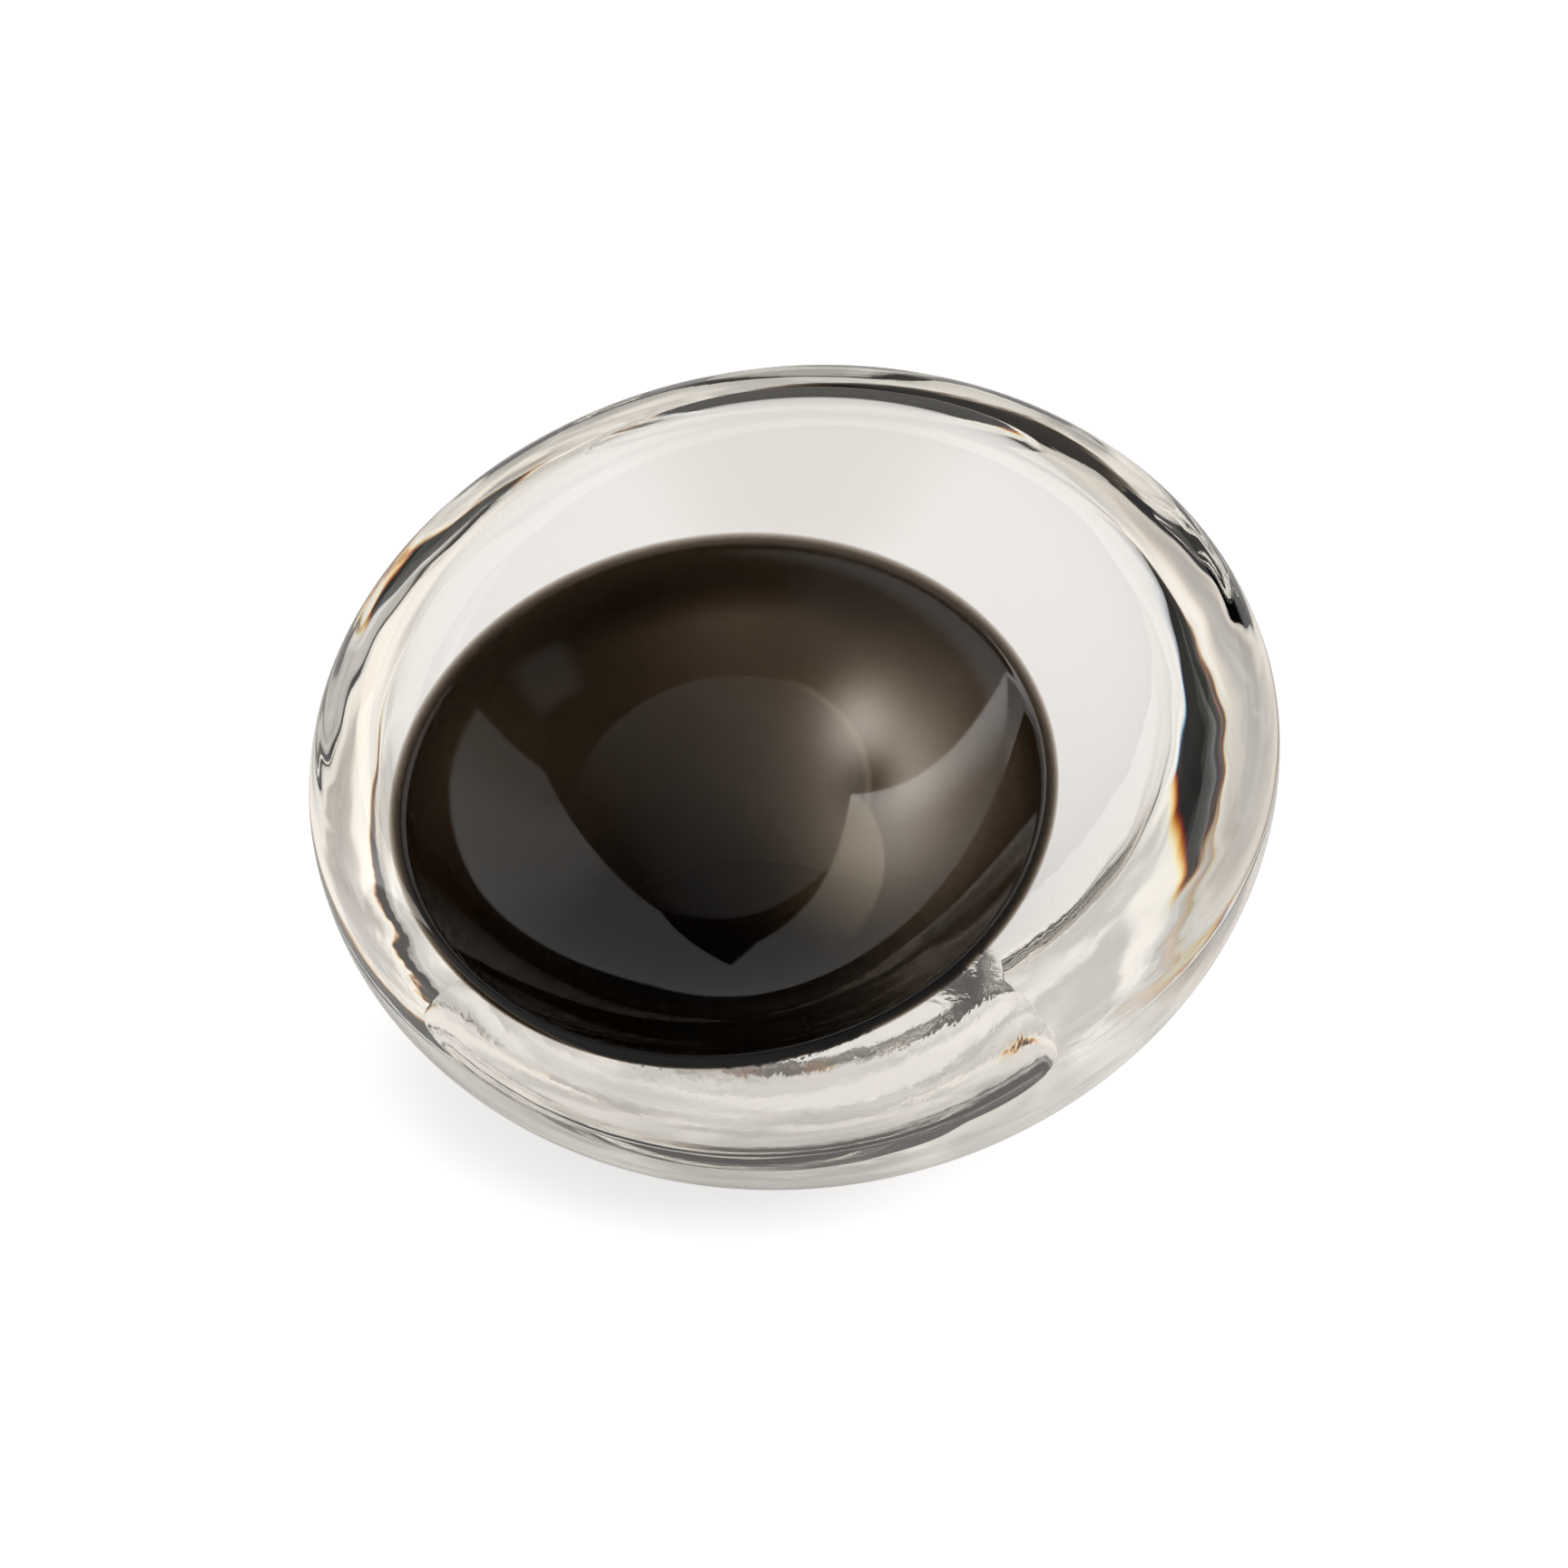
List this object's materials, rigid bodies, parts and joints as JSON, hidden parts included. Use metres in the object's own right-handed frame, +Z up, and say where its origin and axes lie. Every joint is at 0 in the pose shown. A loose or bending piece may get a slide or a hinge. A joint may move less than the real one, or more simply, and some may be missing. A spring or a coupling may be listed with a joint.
{
  "type": "paperweight",
  "caption": "Thick clear glass pebble leaning on a ground flat base, with an off-centre shallow round well lined in smoked brown glass.",
  "frame": {"origin": "middle of the bounding box at the ground base, which lies on Z = 0", "axes": "+Z up; the top face leans down towards -Y, the side that faces the user, and the well sits low towards -Y and a little to -X"},
  "size_m": [0.112, 0.107, 0.0561],
  "materials": {
    "clear_glass": "polished clear glass with a ground flat base",
    "smoked_glass": "polished smoked brown glass, nearly black where it is thick"
  },
  "bodies": {
    "root": {"clear_pebble": "clear_glass", "smoked_well": "smoked_glass"}
  },
  "joints": []
}
